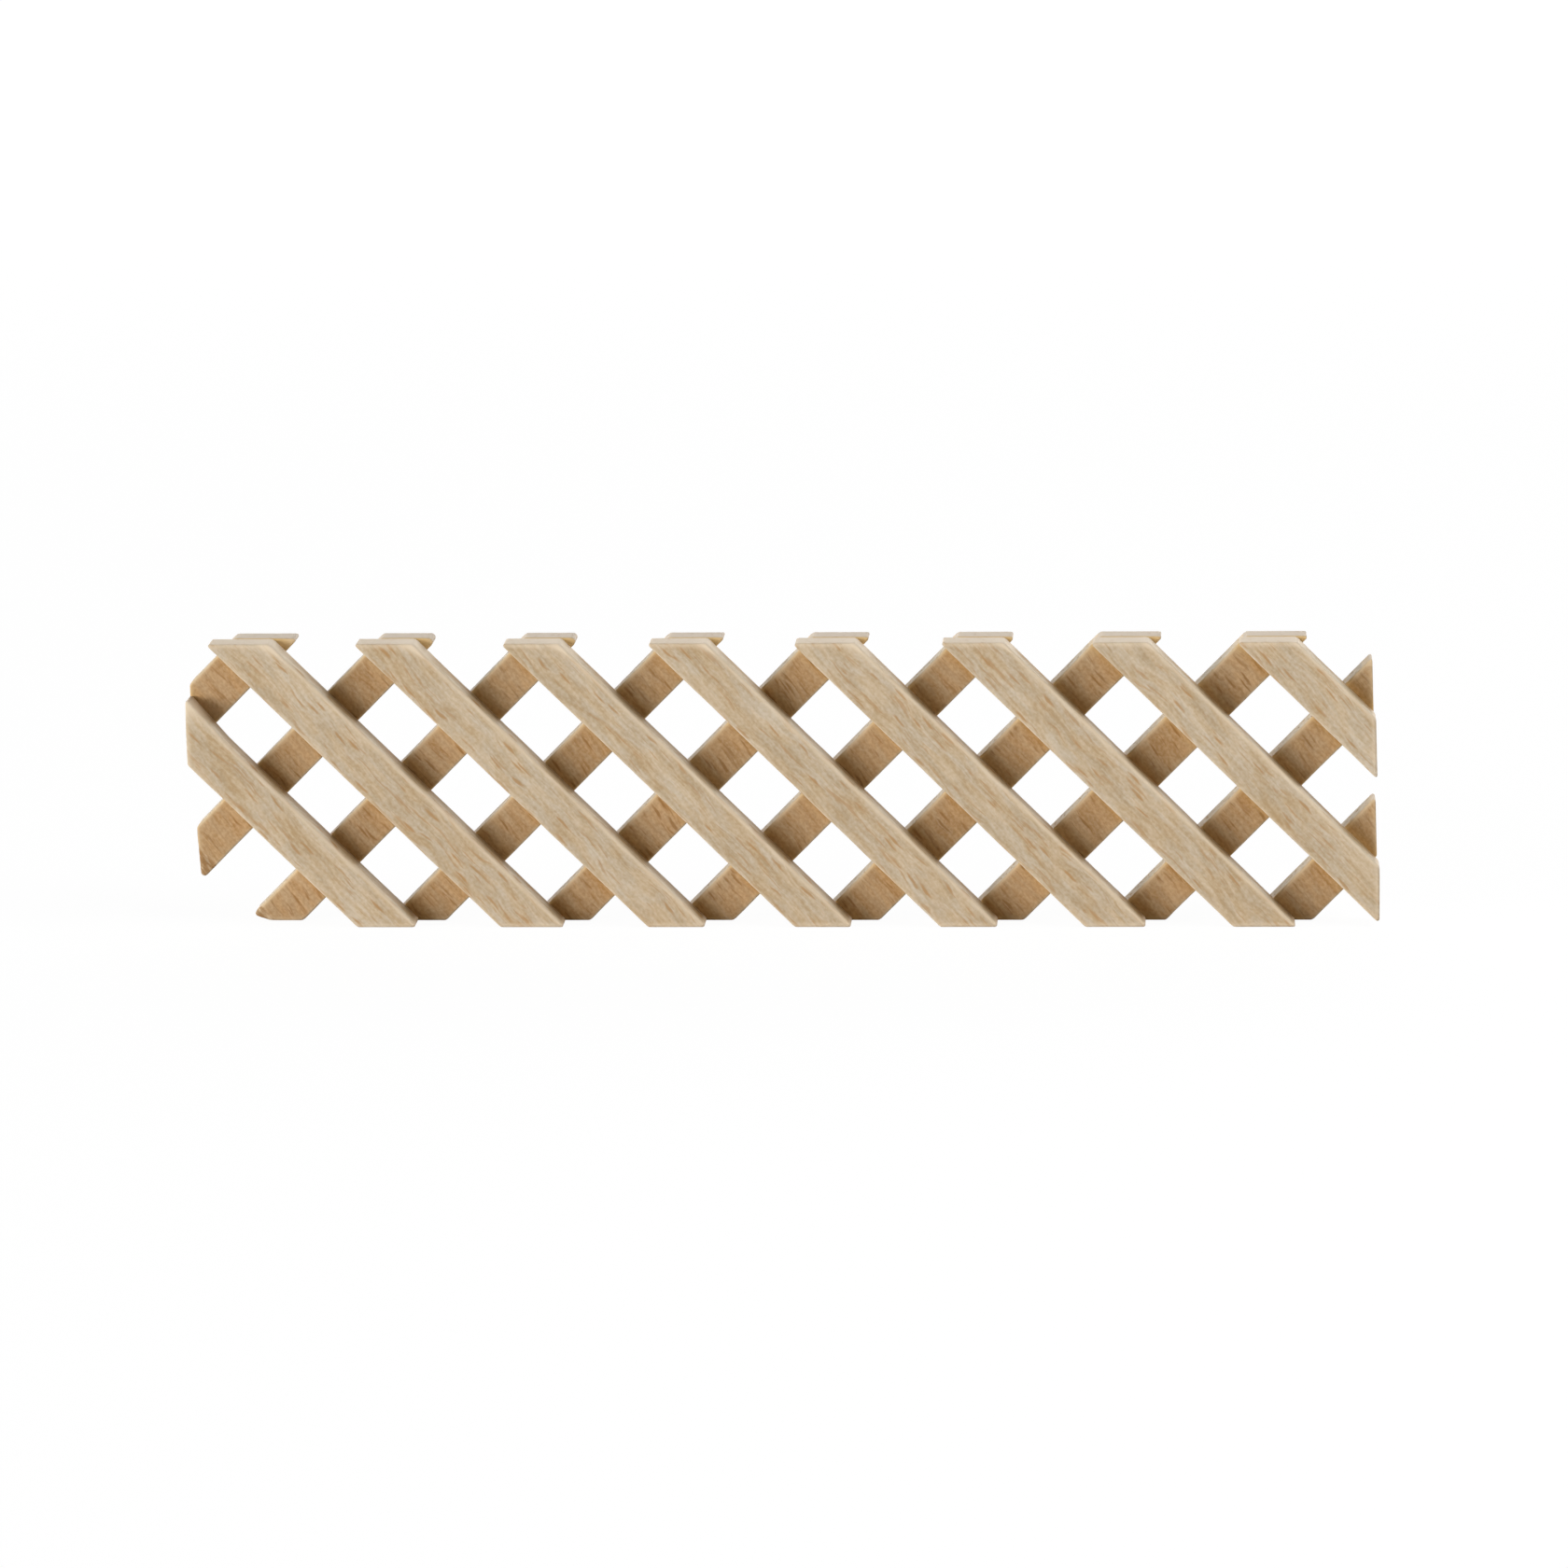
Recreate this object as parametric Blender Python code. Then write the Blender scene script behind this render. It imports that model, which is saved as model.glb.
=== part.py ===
"""Diagonal lattice panel: two layers of wooden slats glued crosswise and cut to one rectangle.

The panel stands on its long edge with its front towards -Y. X runs along it, Z runs up,
and Y = 0 is the plane where the two layers meet.
"""

import math

import bmesh
import bpy
from mathutils import Matrix, Vector

# Overall sizes, in metres; the length is taken at half height
PANEL_LENGTH = 0.1152
PANEL_HEIGHT = 0.0280

# The ends are sawn a little off square, and both lean to the left towards the top
END_LEAN = math.radians(1.5)

# Slats: the pitch is measured square to them, from centre to centre
SLAT_WIDTH = 0.0041
SLAT_THICKNESS = 0.00335
SLAT_PITCH = 0.0100
SLAT_ANGLE = math.radians(45)

# The lattice lies turned by this much against the sawn edges, its right side up
LATTICE_TURN = math.radians(0.3)

# Where each layer's middle slat crosses half height, to the right of the panel's centre
FRONT_SHIFT = 0.00428
REAR_SHIFT = 0.00615

# A slat whose longer edge is under this has too little glued face to hold, and is left out
SHORTEST_SLAT = 0.0130

# The room between the layers, and the glue film that lies in it clear of both
LAYER_GAP = 0.0003
GLUE_THICKNESS = 0.0001
GLUE_INSET = 0.0005

# Easing: the round on a slat's sharp and blunt corners, and the worn arris along all its edges
TIP_RADIUS = 0.0003
CORNER_RADIUS = 0.0008
CORNER_STEPS = 3
ROUND_SHARE = 0.45
ARRIS = 0.0002
ARRIS_STEPS = 2

# Points nearer to each other than this are one point
WELD = 0.00001

# Colours, linear, with roughness
FRONT_WOOD = ((0.560, 0.430, 0.290, 1.0), 0.62)
REAR_WOOD = ((0.430, 0.290, 0.165, 1.0), 0.66)
DRY_GLUE = ((0.620, 0.500, 0.300, 1.0), 0.35)


def make_material(name, finish):
    """A plain Principled material from a colour and a roughness."""
    colour, roughness = finish
    material = bpy.data.materials.new(name)
    material.use_nodes = True
    shader = material.node_tree.nodes["Principled BSDF"]
    shader.inputs["Base Color"].default_value = colour
    shader.inputs["Roughness"].default_value = roughness
    shader.inputs["Metallic"].default_value = 0.0
    return material


def crossings(shift, angle):
    """Every place along X where a slat of this layer, at this slope, could cross half height."""
    step = SLAT_PITCH / math.sin(angle)
    overhang = PANEL_HEIGHT / 2 / math.tan(angle) + SLAT_WIDTH / math.sin(angle)
    reach = PANEL_LENGTH / 2 + overhang
    first = math.ceil((-reach - shift) / step)
    last = math.floor((reach - shift) / step)
    return [shift + number * step for number in range(first, last + 1)]


def slat_place(cross_x, turn):
    """Turns local X along the slat and sets its middle on the panel's half height."""
    middle = Vector((cross_x, 0.0, PANEL_HEIGHT / 2))
    return Matrix.Translation(middle) @ Matrix.Rotation(turn, 4, "Y")


def panel_sides(inset):
    """The panel's left, right, bottom and top planes, moved in by the inset."""
    out_right = Vector((math.cos(END_LEAN), 0.0, math.sin(END_LEAN)))
    left = Vector((-PANEL_LENGTH / 2, 0.0, PANEL_HEIGHT / 2))
    right = Vector((PANEL_LENGTH / 2, 0.0, PANEL_HEIGHT / 2))
    return [
        (left + out_right * inset, -out_right),
        (right - out_right * inset, out_right),
        (Vector((0.0, 0.0, inset)), Vector((0.0, 0.0, -1.0))),
        (Vector((0.0, 0.0, PANEL_HEIGHT - inset)), Vector((0.0, 0.0, 1.0))),
    ]


def cut_strip(place, width, inset):
    """A flat strip along local X, trimmed by the panel's four sides; it may come out empty."""
    strip = bmesh.new()
    run = PANEL_LENGTH + PANEL_HEIGHT
    ends = [(-run, -width / 2), (run, -width / 2), (run, width / 2), (-run, width / 2)]
    strip.faces.new([strip.verts.new((x, 0.0, z)) for x, z in ends])
    to_strip = place.inverted()
    for point, normal in panel_sides(inset):
        bmesh.ops.bisect_plane(
            strip,
            geom=strip.verts[:] + strip.edges[:] + strip.faces[:],
            plane_co=to_strip @ point,
            plane_no=to_strip.to_3x3() @ normal,
            clear_outer=True,
        )
    return strip


def strip_length(strip):
    """How long the strip is from tip to tip; nothing left counts as zero."""
    along = [vertex.co.x for vertex in strip.verts]
    return max(along) - min(along) if along else 0.0


def round_corners(strip):
    """Rounds each corner of the flat strip, a sharp tip less than a blunt corner.

    A round takes up no more than ROUND_SHARE of either side that it touches.
    """
    bmesh.ops.remove_doubles(strip, verts=strip.verts[:], dist=TIP_RADIUS)
    tangents = {}
    for corner in strip.verts:
        one, other = (edge.other_vert(corner).co - corner.co for edge in corner.link_edges)
        opening = one.angle(other)
        radius = TIP_RADIUS if opening < math.pi / 2 else CORNER_RADIUS
        room = ROUND_SHARE * min(one.length, other.length)
        tangents[corner] = min(radius / math.tan(opening / 2), room)
    for corner, tangent in tangents.items():
        bmesh.ops.bevel(
            strip,
            geom=[corner],
            offset=tangent,
            offset_type="OFFSET",
            segments=CORNER_STEPS,
            profile=0.5,
            affect="VERTICES",
            clamp_overlap=True,
        )


def thicken(strip, low_y, high_y):
    """Pulls the flat strip into a solid between two planes across Y."""
    bmesh.ops.translate(strip, verts=strip.verts[:], vec=(0.0, low_y, 0.0))
    grown = bmesh.ops.extrude_face_region(strip, geom=strip.faces[:])
    moved = [item for item in grown["geom"] if isinstance(item, bmesh.types.BMVert)]
    bmesh.ops.translate(strip, verts=moved, vec=(0.0, high_y - low_y, 0.0))
    bmesh.ops.recalc_face_normals(strip, faces=strip.faces[:])


def ease_arrises(solid):
    """Rounds the edges round the front and back faces, which run square to Y."""
    rim = [
        edge
        for edge in solid.edges
        if abs(edge.verts[0].co.y - edge.verts[1].co.y) < SLAT_THICKNESS / 2
    ]
    bmesh.ops.bevel(
        solid,
        geom=rim,
        offset=ARRIS,
        offset_type="OFFSET",
        segments=ARRIS_STEPS,
        profile=0.5,
        affect="EDGES",
        clamp_overlap=True,
    )
    bmesh.ops.remove_doubles(solid, verts=solid.verts[:], dist=WELD)


def add_piece(name, solid, place, parent, material):
    """Turns a finished solid into a named object at its place on the panel."""
    mesh = bpy.data.meshes.new(name)
    solid.to_mesh(mesh)
    solid.free()
    mesh.materials.append(material)
    piece = bpy.data.objects.new(name, mesh)
    bpy.context.collection.objects.link(piece)
    piece.parent = parent
    piece.location = place.to_translation()
    piece.rotation_euler = place.to_euler()
    return piece


def add_slat(name, strip, place, side, parent, material):
    """A slat on one side of the middle plane: side is -1 for the front, 1 for the rear."""
    near = side * LAYER_GAP / 2
    far = side * (LAYER_GAP / 2 + SLAT_THICKNESS)
    round_corners(strip)
    thicken(strip, min(near, far), max(near, far))
    ease_arrises(strip)
    return add_piece(name, strip, place, parent, material)


def add_glue(name, place, parent, material):
    """The film of glue along a front slat's back, a little narrower and shorter than it."""
    film = cut_strip(place, SLAT_WIDTH - 2 * GLUE_INSET, GLUE_INSET)
    thicken(film, -GLUE_THICKNESS / 2, GLUE_THICKNESS / 2)
    return add_piece(name, film, place, parent, material)


def build_layer(name, shift, turn, side, parent, material):
    """Makes one layer's slats from left to right and returns the places they took."""
    places = []
    for cross_x in crossings(shift, abs(turn)):
        place = slat_place(cross_x, turn)
        strip = cut_strip(place, SLAT_WIDTH, 0.0)
        if strip_length(strip) < SHORTEST_SLAT:
            strip.free()
            continue
        places.append(place)
        add_slat(f"{name}_{len(places)}", strip, place, side, parent, material)
    return places


def build_panel():
    """Both layers, with a line of glue behind each front slat."""
    panel = bpy.data.objects.new("lattice_panel", None)
    bpy.context.collection.objects.link(panel)
    front_wood = make_material("front_wood", FRONT_WOOD)
    rear_wood = make_material("rear_wood", REAR_WOOD)
    dry_glue = make_material("dry_glue", DRY_GLUE)

    falling = SLAT_ANGLE - LATTICE_TURN
    rising = -(SLAT_ANGLE + LATTICE_TURN)
    front_places = build_layer("front_slat", FRONT_SHIFT, falling, -1, panel, front_wood)
    build_layer("rear_slat", REAR_SHIFT, rising, 1, panel, rear_wood)
    for number, place in enumerate(front_places, start=1):
        add_glue(f"glue_line_{number}", place, panel, dry_glue)


for leftover in list(bpy.data.objects):
    bpy.data.objects.remove(leftover, do_unlink=True)
build_panel()
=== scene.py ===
"""The looks of the lattice panel: two layers of small beech slats, glued crosswise and sawn to size.

The front layer's slats fall to the right and the rear layer's rise to the right. The wood's grain
runs down to the right through both layers. The front is towards -Y, and the panel stands on Z = 0.
"""

import math
from typing import NamedTuple

import bpy
import numpy as np
from mathutils import Matrix, Vector


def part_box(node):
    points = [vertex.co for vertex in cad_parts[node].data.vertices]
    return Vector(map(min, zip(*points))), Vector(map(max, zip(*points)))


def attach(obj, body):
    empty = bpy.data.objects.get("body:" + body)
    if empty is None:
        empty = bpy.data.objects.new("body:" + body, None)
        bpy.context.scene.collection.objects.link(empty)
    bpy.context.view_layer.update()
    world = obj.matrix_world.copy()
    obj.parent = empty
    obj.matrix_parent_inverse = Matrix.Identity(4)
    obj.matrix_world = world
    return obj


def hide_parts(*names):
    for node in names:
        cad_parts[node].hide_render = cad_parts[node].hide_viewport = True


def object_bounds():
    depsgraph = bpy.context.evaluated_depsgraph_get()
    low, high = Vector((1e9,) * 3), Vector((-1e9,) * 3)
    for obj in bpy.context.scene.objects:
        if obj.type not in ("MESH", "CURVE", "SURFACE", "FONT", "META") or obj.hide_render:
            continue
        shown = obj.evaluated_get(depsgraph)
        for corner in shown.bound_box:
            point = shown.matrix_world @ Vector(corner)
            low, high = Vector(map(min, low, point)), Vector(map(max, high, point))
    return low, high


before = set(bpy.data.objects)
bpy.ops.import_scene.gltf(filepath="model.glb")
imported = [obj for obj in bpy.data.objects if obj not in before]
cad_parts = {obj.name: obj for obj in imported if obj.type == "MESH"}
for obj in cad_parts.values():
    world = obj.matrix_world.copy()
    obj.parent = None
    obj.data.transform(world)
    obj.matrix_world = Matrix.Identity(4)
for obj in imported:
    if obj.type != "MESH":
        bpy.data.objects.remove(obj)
cad_low, cad_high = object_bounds()

MM = 0.001
HEIGHT = cad_high.z
HALF_DEPTH = cad_high.y
BOX_MARGIN = 0.01 * MM

# The ends are sawn this much off square, and both lean to the left towards the top
END_LEAN = math.radians(1.5)

# The slats lie turned against the sawn edges, their right side up
SLAT_ANGLE = math.radians(45)
LATTICE_TURN = math.radians(0.3)
PITCH = 10.0 * MM


def in_metres(*millimetres):
    """Millimetres as metres."""
    return tuple(length * MM for length in millimetres)


class Layer(NamedTuple):
    """One layer of slats, with their own measures from left to right.

    The side is -1 in front of the seam and 1 behind it. The slope is how steeply the slats fall to
    the right in front, or rise behind. The length is taken at half height. The whole slat spans
    the full height, so its centre line passes its box's middle. A nudge is how far a hand-sawn
    slat lies below its even place.
    """

    name: str
    slot: str
    side: int
    slope: float
    length: float
    whole_slat: int
    widths: tuple
    nudges: tuple
    seed: int


FRONT = Layer(
    name="front_slat",
    slot="front_wood",
    side=-1,
    slope=SLAT_ANGLE - LATTICE_TURN,
    length=115.4 * MM,
    whole_slat=5,
    widths=in_metres(4.22, 4.44, 4.10, 4.05, 4.12, 4.34, 4.38, 4.03, 4.13),
    nudges=in_metres(0.03, 0.06, 0.10, 0.08, 0.08, 0.08, -0.02, 0.01, 0.01),
    seed=1000,
)
REAR = Layer(
    name="rear_slat",
    slot="rear_wood",
    side=1,
    slope=SLAT_ANGLE + LATTICE_TURN,
    length=115.1 * MM,
    whole_slat=6,
    widths=in_metres(4.49, 4.03, 3.94, 3.98, 4.10, 4.04, 4.37, 4.34, 4.05, 4.27),
    nudges=in_metres(0.10, 0.07, -0.03, -0.05, -0.05, -0.04, -0.06, -0.04, -0.06, -0.04),
    seed=5000,
)

# A length that any slat stays within
RUN = FRONT.length + HEIGHT

# One more front slat would have filled the lower left corner; where it tore off, the wood is rough
LOST_SLAT_STEPS = -5
TORN_DEPTH = 0.16 * MM
TORN_UNEVENNESS = 0.9
TORN_BORDER = 0.25 * MM
TORN_BORDER_SEED = 77

# The rear slats that lost a tip with it: a point on the break, its X and Z, and the break's slope
TORN_TIPS = {
    2: (-57.3 * MM, 6.9 * MM, math.radians(4)),
    3: (-51.63 * MM, 0.40 * MM, math.radians(71)),
}

# This slat's tip flares upwards, from the start's X to the panel's left end
FLARED_SLAT = "front_slat_1"
FLARE_START = -54.0 * MM
FLARE_RUN = 3.8 * MM
FLARE_LIFT = 0.66 * MM

# The hairline between the layers, and the glue pads that lie in it
HALF_SEAM = 0.012 * MM
HALF_GLUE = 0.009 * MM
GLUE_REACH = 1.7 * MM
GLUE_MARGIN = 0.2 * MM
GLUE_WAVE = 0.06
GLUE_RIM_WAVES = (2, 5)
GLUE_BLUNTNESS = 0.3

# Each slat's and each glued row's random draws start from a seed of their own
SLAT_SEED_STEP = 10
GLUE_SEED = 9000
GLUE_SEED_STEP = 40

# Wear: the round along the edges of the outer and the inner face, and on the sawn corners
OUTER_ARRIS = 0.25 * MM
INNER_ARRIS = 0.20 * MM
TIP_RADIUS = 0.18 * MM
TORN_TIP_RADIUS = 0.34 * MM
HIGH_CORNER_RADIUS = 0.60 * MM
LOW_CORNER_RADIUS = 0.45 * MM
LEFT_CORNER_WEAR = 2.6 * MM
RIGHT_CORNER_WEAR = 0.8 * MM

# Each sawn corner's radius is between these shares of its size
SMALLEST_SHARE = 0.8
LARGEST_SHARE = 1.3

# How far the edges' pale rims, partly wear and partly painted highlight, reach over a face
UPPER_RIM = 0.29 * MM
LOWER_RIM = 0.22 * MM
END_RIM = 0.20 * MM
FACE_RIM = 0.22 * MM
SAWN_RIM = 0.08 * MM
CORNER_RIM = 0.15 * MM
CORNER_RIM_PER_WEAR = 0.50

# A lower edge and a plain end get only this share of the pale rim; the upper edges get all of it, their
# wear with a painted highlight of light from above
FAINT_RIM_SHARE = 0.38

# The rear slats' tips are paler than their other ends, this far down from the panel's top
TIP_DEPTH = 3.0 * MM
LEFT_TIP_RIM = 0.85 * MM
RIGHT_TIP_RIM = 1.25 * MM

# The front slats' upper sides start as pale as their sawn ends, and lose that over this length
PALE_SIDE_RUN = 3.0 * MM
PALE_SIDE_STRENGTH = 0.8

# Where a sawn end's flat part begins, inside its worn edges, and over what length it comes in
FLAT_END_START = 0.05 * MM
FLAT_END_RUN = 0.20 * MM

# The milled inner face: how deep its colour goes, and how far inside the slat's sides it begins
MILLED_DEPTH = 0.16 * MM
MILLED_START = 0.02 * MM
MILLED_RUN = 0.25 * MM

# The upright sides: the outermost points across, until the edges' rounds have this much inset. Their
# colour darkens towards the seam as painted shade, which fades outwards by a power of the depth
SIDE_SPREAD = 0.999
SIDE_INSET = 0.12 * MM
SEAM_SHADE_POWER = 1.2

# The rear layer's inner face: how deep its marks go, and how far from a front slat a painted shade darkens
# it
JOINT_DEPTH = 0.8 * MM
CREVICE_SHADE_REACH = 0.9 * MM

# Saw and plane marks: how far at most an end or a face lies under its nominal place
SAW_MARK = 0.016 * MM
FACE_HOLLOW = 0.020 * MM

# How far at most the sides stray to either hand, slowly and quickly
SIDE_WANDER = 0.030 * MM
SIDE_NIBBLE = 0.008 * MM

# These marks' wave lengths, and how far apart a slat's middle and side lie in them, in millimetres
SAW_MARK_WAVE = 0.8
HOLLOW_WAVE = 3.0
WANDER_WAVE = 7.0
WANDER_ACROSS = 9.0
NIBBLE_WAVE = 0.9
NIBBLE_ACROSS = 5.0
BORDER_WAVE = 1.3
FIBRE_WAVE = 1.1

# Uneven ground is this many sine waves, from this much shorter to this much longer than named
SINE_WAVES = 8
SHORTEST_WAVE = 0.7
LONGEST_WAVE = 1.6

# Torn fibres: how X and Z, in millimetres, count across the grain and along it
FIBRE_ACROSS = (2.2, 2.0)
FIBRE_ALONG = (0.5, -0.6)

# The wander and the nibbles die out over this length at a slat's ends
CALM_END = 1.2 * MM

# Mesh spacing; across a slat, points are even for one share and crowd to the sides for the other
STEP_ALONG = 0.22 * MM
COUNT_ACROSS = 25
EVEN_SHARE = 0.3
CROWDED_SHARE = 0.7
COUNT_DEEP = 9
COUNT_ARRIS = 5
COUNT_CORNER = 12
COUNT_GLUE_RINGS = 7
COUNT_GLUE_SPOKES = 28
SHARP_ANGLE = math.radians(50)


class Finish(NamedTuple):
    """How one layer's wood looks: its grain's slope, its patterns' strengths and its linear colours."""

    grain_slope: float
    streakiness: float
    planed_mottle: float
    milled_mottle: float
    colours: dict


FRONT_FINISH = Finish(
    grain_slope=math.radians(48),
    streakiness=1.0,
    planed_mottle=1.0,
    milled_mottle=1.0,
    colours={
        "planed": (0.510, 0.395, 0.262),
        "milled": (0.50, 0.305, 0.14),
        "side": (0.62, 0.52, 0.37),
        # The side's colour at the seam, painted shade
        "shaded side": (0.31, 0.19, 0.08),
        # The pale rims' colour: wear, with a painted highlight
        "edge": (0.76, 0.63, 0.465),
        "sawn": (0.735, 0.62, 0.48),
        "torn": (0.30, 0.17, 0.07),
        "planed fleck": (0.42, 0.245, 0.105),
        "milled fleck": (0.38, 0.205, 0.075),
    },
)
REAR_FINISH = Finish(
    grain_slope=math.radians(51),
    streakiness=0.85,
    planed_mottle=0.6,
    milled_mottle=1.5,
    colours={
        "planed": (0.52, 0.40, 0.265),
        "milled": (0.505, 0.325, 0.168),
        "side": (0.60, 0.51, 0.37),
        # The side's colour at the seam, painted shade
        "shaded side": (0.60, 0.49, 0.34),
        # The pale rims' colour: wear, with a painted highlight
        "edge": (0.72, 0.55, 0.345),
        "sawn": (0.61, 0.52, 0.42),
        "torn": (0.33, 0.18, 0.07),
        "planed fleck": (0.42, 0.26, 0.12),
        "milled fleck": (0.33, 0.175, 0.065),
    },
)

# Tints that multiply the wood's colour
# Painted shade: the rear faces darker and browner within a short reach of a front slat's edge
CREVICE_PAINTED_SHADE = (1.0, 0.90, 0.65)
CREAM = (1.18, 1.27, 1.42)
TAN = (0.84, 0.78, 0.67)
COOL = (0.98, 1.0, 1.04)
WARM = (1.025, 0.995, 0.955)

# How much of the figure these cover where their masks are full
EDGE_COVER = 0.95
SAWN_COVER = 0.75
TORN_COVER = 0.90

# The wood's surface
SPECULAR = 0.05
PLAIN_ROUGHNESS = 0.58
FLECK_ROUGHNESS = 0.68
RELIEF_STRENGTH = 0.30
RELIEF_DEPTH = 0.04 * MM


class Pattern(NamedTuple):
    """Noise stretched along the grain, which fades in between two of its levels.

    The waves are how many there are in a millimetre along, into and across the grain. The shift
    takes another part of the noise for each pattern.
    """

    waves: tuple
    shift: tuple
    begins: float
    full: float
    roughness: float = 0.5


BANDS = Pattern((0.05, 0.3, 0.4), (0.0, 0.0, 0.0), 0.32, 0.68)
STREAKS = Pattern((0.15, 0.9, 1.5), (3.0, 5.0, 7.0), 0.32, 0.68)
FIBRE = Pattern((0.40, 2.6, 3.3), (9.0, 1.0, 4.0), 0.30, 0.70, 0.55)
MOTTLE = Pattern((2.8, 2.8, 3.8), (6.0, 2.0, 1.0), 0.30, 0.70)
DASHES = Pattern((0.28, 1.6, 3.0), (1.0, 3.0, 8.0), 0.59, 0.71)
WARMTH = Pattern((0.35, 0.7, 1.3), (5.0, 4.0, 2.0), 0.34, 0.66)
TORN_PATCHES = Pattern((0.7, 2.0, 2.4), (8.0, 3.0, 6.0), 0.34, 0.54)

# Flecks are the middles of long cells, with a ragged edge; the distances are the cells' own
CELL_WAVES = (0.23, 0.50, 1.60)
CELL_SHIFT = (2.0, 8.0, 5.0)
RAGGED_WAVES = (1.1, 2.0, 5.0)
RAGGED_SHIFT = (4.0, 7.0, 2.0)
RAGGEDNESS = 0.30
FLECK_RIM = 0.44
FLECK_CORE = 0.26

# The grain's slow and quick bends: waves in a millimetre, and how far they push it in millimetres
BENDS = (
    ((0.14, 0.25, 0.25), (0.0, 0.8, 1.6)),
    ((0.55, 0.9, 1.0), (0.0, 0.1, 0.30)),
)
BEND_DETAIL = 1.5

# How much each pattern moves the wood's tone, from 0, tan, to 1, cream, about its even tone, and
# how strongly the marks show and stand out of the surface
BAND_CONTRAST = 0.30
STREAK_CONTRAST = 0.34
FIBRE_CONTRAST = 0.40
MOTTLE_CONTRAST = 0.34
MIDDLE_LEVEL = 0.5
EVEN_TONE = 0.35
DASH_STRENGTH = 0.70
MARK_STRENGTH = 0.82
RELIEF_SHARE = 0.5

# Dried glue
CLEAR_GLUE = (0.50, 0.36, 0.18)
CLOUDY_GLUE = (0.66, 0.55, 0.36)
GLUE_CLOUD = (0.35, 0.65)
GLUE_CLOUD_DETAIL = 3.0
GLUE_ROUGHNESS = (0.28, 0.45)

# The floor: half its width, its paper for the light, and its glow and sheen for the camera
HALF_FLOOR = 2.5
FLOOR_PAPER = 0.80
FLOOR_GLOW = 0.96
FLOOR_SHEEN = 0.05

# The surround's light on the object; lamps have a place, a width, a height and a power in watts
WORLD_FILL = 0.02
LAMPS = {
    "left_light": ((-0.95, -0.76, 0.205), 1.18, 0.42, 15.6),
    "right_light": ((0.40, -0.20, 0.45), 0.40, 0.40, 2.5),
    "back_light": ((0.0, 1.12, 0.393), 2.24, 0.733, 14.9),
}

# Camera, fitted to the openings' edges
EYE = Vector((37.36, -719.16, 145.63)) * MM
SIGHT = Vector((-0.05083, 0.98228, -0.18040))
TOP_OF_VIEW = Vector((0.00141, 0.18071, 0.98353))
LENS = 172.67
SENSOR = 36.0
NEAR_LIMIT = 0.01
FAR_LIMIT = 20.0


# Layout

def slat_places(layer):
    """Where each slat's centre line would cross half height if they were evenly spaced."""
    low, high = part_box(f"{layer.name}_{layer.whole_slat}")
    base = (low.x + high.x) / 2
    numbers = range(1, len(layer.widths) + 1)
    return [base + (number - layer.whole_slat) * PITCH / math.sin(layer.slope) for number in numbers]


FRONT_PLACES = slat_places(FRONT)
REAR_PLACES = slat_places(REAR)


def slat_axes(layer):
    """A slat's directions along and across it in XZ."""
    along = np.array((math.cos(layer.slope), layer.side * math.sin(layer.slope)))
    across = np.array((math.sin(layer.slope), -layer.side * math.cos(layer.slope)))
    return along, across


def panel_sides(length):
    """A layer's sides, as outward directions in XZ and how far out each side lies.

    The ends lean, and two more upright sides keep their farthest corners in the CAD model's box.
    """
    lean = np.array((math.cos(END_LEAN), math.sin(END_LEAN)))
    right = np.array((length / 2, HEIGHT / 2))
    left = np.array((-length / 2, HEIGHT / 2))
    return [
        (-lean, -lean @ left),
        (lean, lean @ right),
        (np.array((0.0, -1.0)), 0.0),
        (np.array((0.0, 1.0)), HEIGHT),
        (np.array((-1.0, 0.0)), -cad_low.x - BOX_MARGIN),
        (np.array((1.0, 0.0)), cad_high.x - BOX_MARGIN),
    ]


def torn_side(x, z, slope):
    """A side through a point that took off a tip where the lost slat tore away."""
    outward = -np.array((math.cos(slope), math.sin(slope)))
    return outward, outward @ np.array((x, z))


def crossing(front_x, rear_x):
    """Where a falling and a rising centre line meet, from their places at half height."""
    up = (front_x - rear_x) / (1.0 / math.tan(REAR.slope) + 1.0 / math.tan(FRONT.slope))
    return np.array((front_x - up / math.tan(FRONT.slope), HEIGHT / 2 + up))


def above_front_line(x, z, line_x):
    """How far a point lies above a falling centre line, square to it."""
    return (x - line_x) * math.sin(FRONT.slope) + (z - HEIGHT / 2) * math.cos(FRONT.slope)


def front_clearance(x, z):
    """How far a point of the rear layer lies from the nearest front slat's edge, seen from the front."""
    distance = above_front_line(x[..., None], z[..., None], np.array(FRONT_PLACES))
    return np.clip(np.abs(distance) - np.array(FRONT.widths) / 2, 0.0, None).min(axis=-1)


# Uneven ground

def ripple(x, y, size, seed):
    """Uneven ground from -1 to 1: sine waves of about one length, in random directions."""
    draw = np.random.default_rng(seed)
    total = np.zeros(np.broadcast(x, y).shape)
    for _ in range(SINE_WAVES):
        heading, start = draw.uniform(0.0, 2.0 * math.pi, 2)
        length = size * draw.uniform(SHORTEST_WAVE, LONGEST_WAVE)
        distance = x * math.cos(heading) + y * math.sin(heading)
        total += np.sin(2.0 * math.pi * distance / length + start)
    return total / SINE_WAVES


def ease(value):
    """A value held between 0 and 1 and eased at both ends."""
    held = np.clip(value, 0.0, 1.0)
    return held * held * (3.0 - 2.0 * held)


def fading(distance, reach):
    """1 at a distance of nothing, fading as a bell curve: e to the minus (distance over reach) squared."""
    return np.exp(-((distance / reach) ** 2))


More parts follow.
